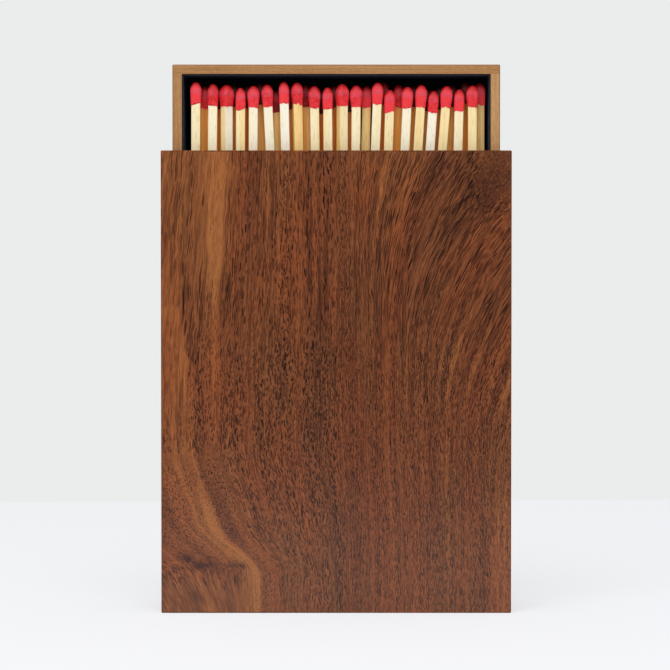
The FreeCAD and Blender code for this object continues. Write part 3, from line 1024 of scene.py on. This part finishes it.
# Painted shade: the top of the dome is painted darker, as the shade of the tray's top board.
red = mixed(tree, faded(tree, level, 0.0045, 0.0064), red, (0.54, 0.14, 0.2, 1.0), "MULTIPLY")
tree.links.new(red, shader.inputs["Base Color"])
chalk = put(tree, "ShaderNodeBump", {"Strength": 0.4, "Distance": 0.0002, "Height": grit})
tree.links.new(chalk.outputs[0], shader.inputs["Normal"])
shader.inputs["Roughness"].default_value = 0.5
shader.inputs["Specular IOR Level"].default_value = 0.3
print("match head:", len(tree.nodes), "nodes")

# %% Head shape
head_coat = 0.00015
head_levels = (0.0, 0.07, 0.16, 0.28, 0.42, 0.56, 0.68, 0.79, 0.87, 0.93, 0.975)
bulb_level = 0.56
dip_wander = 0.00018
dip_jag = 0.00009
lump = 0.00003


def head_width(share, skirt_half, bulb_half):
    """Half the width of a head at a share of its height: it flares to the bulb and ends in a dome."""
    if share < bulb_level:
        flare = share / bulb_level
        return skirt_half + (bulb_half - skirt_half) * flare * flare * (3 - 2 * flare)
    dome = (share - bulb_level) / (1 - bulb_level)
    return bulb_half * math.sqrt(1 - dome ** 2.1)


def squareness(share):
    """Power of the section's outline: 2 is a circle, and more is a square with round corners."""
    return 2.2 + 1.6 * min(1, max(0, (0.9 - share) / 0.3)) + 4.0 * max(0, 1 - share / bulb_level)


def covering(half, stick_half):
    """The least squareness with which a section still covers the eased corners of its stick."""
    corner = (stick_half - stick_rounding) * math.sqrt(2) + stick_rounding + head_coat / 2
    return min(8, -1 / math.log2(min(0.9, corner / (math.sqrt(2) * half))))


def head_shape(stick_half, head_half, height, sides, chance):
    """One head with its skirt at the origin."""
    bm = bmesh.new()
    bmesh.ops.create_circle(bm, segments=sides, radius=1.0)
    rim = bm.edges[:]
    ring = bm.verts[:]
    waves = [
        (order, chance.uniform(0, 6.3), chance.gauss(0, dip_wander) * share)
        for order, share in ((1, 0.4), (2, 1.0), (4, 1.0), (7, 0.7))
    ]
    lumps = Vector((chance.uniform(0, 50), chance.uniform(0, 50), 0))
    for share in head_levels:
        if share > 0:
            grown = bmesh.ops.extrude_edge_only(bm, edges=rim)["geom"]
            rim = [item for item in grown if isinstance(item, bmesh.types.BMEdge)]
            ring = [item for item in grown if isinstance(item, bmesh.types.BMVert)]
            rim = [edge for edge in rim if edge.verts[0] in ring and edge.verts[1] in ring]
        half = head_width(share, stick_half + head_coat, head_half)
        power = max(squareness(share), covering(half, stick_half) if share < 0.62 else 2)
        for vert in ring:
            angle = math.atan2(vert.co.y, vert.co.x)
            across, deep = math.cos(angle), math.sin(angle)
            reach = half / (abs(across) ** power + abs(deep) ** power) ** (1 / power)
            dip = sum(swell * math.cos(order * angle + turn) for order, turn, swell in waves)
            dip += chance.gauss(0, dip_jag)
            level = height * share + dip * max(0, 1 - 3 * share)
            reach += lump * noise.noise(Vector((across * 2, deep * 2, share * 5)) + lumps)
            vert.co = (across * reach, deep * reach, level)
    closing = bmesh.ops.extrude_edge_only(bm, edges=rim)["geom"]
    last = [item for item in closing if isinstance(item, bmesh.types.BMVert)]
    bmesh.ops.pointmerge(bm, verts=last, merge_co=(0, 0, height))
    skirt_rim = [edge for edge in bm.edges if edge.is_boundary]
    bmesh.ops.edgeloop_fill(bm, edges=skirt_rim)
    bmesh.ops.recalc_face_normals(bm, faces=bm.faces)
    return bm


print("head shape:", len(head_levels), "levels to a head")

# %% Heads
front_head_sides = 28
other_head_sides = 16
front_lightness = 0.5
# Painted shade: heads behind the first row get a low lightness.
painted_shade_lightness = 0.1
lightness_spread = 0.1
# Painted shade: one lightness for each head of the second row.
second_row_painted_shade = (
    0.42, 0.0, 0.0, 0.05, 0.05, 0.2, 0.1, 0.2, 0.0, 0.1,
    0.0, 0.6, 0.2, 0.36, 0.0, 0.0, 0.0, 0.0, 0.08, 0.56,
)

for group, found in matches.items():
    chance = random.Random("heads " + group)
    sides = front_head_sides if group == "front_row" else other_head_sides
    middling = front_lightness if group == "front_row" else painted_shade_lightness
    row = bmesh.new()
    for number, match in enumerate(found):
        bm = head_shape(match.half, match.head_half, match.tip - match.skirt, sides, chance)
        x, y, z = points_of(bm)
        places = np.stack([x + chance.uniform(0, 9), y, z], axis=1)
        shade = middling + chance.uniform(-lightness_spread, lightness_spread)
        if group == "second_row":
            shade = second_row_painted_shade[number]
        write_grain(bm, places, np.full_like(x, shade), np.zeros_like(x))
        bmesh.ops.translate(bm, vec=(0, 0, match.skirt), verts=bm.verts)
        bmesh.ops.transform(bm, matrix=match.stand, verts=bm.verts)
        join_into(row, bm)
    add_piece(f"heads_{group}", row, head_red, "tray", "match_head", f"match_heads_{group}")
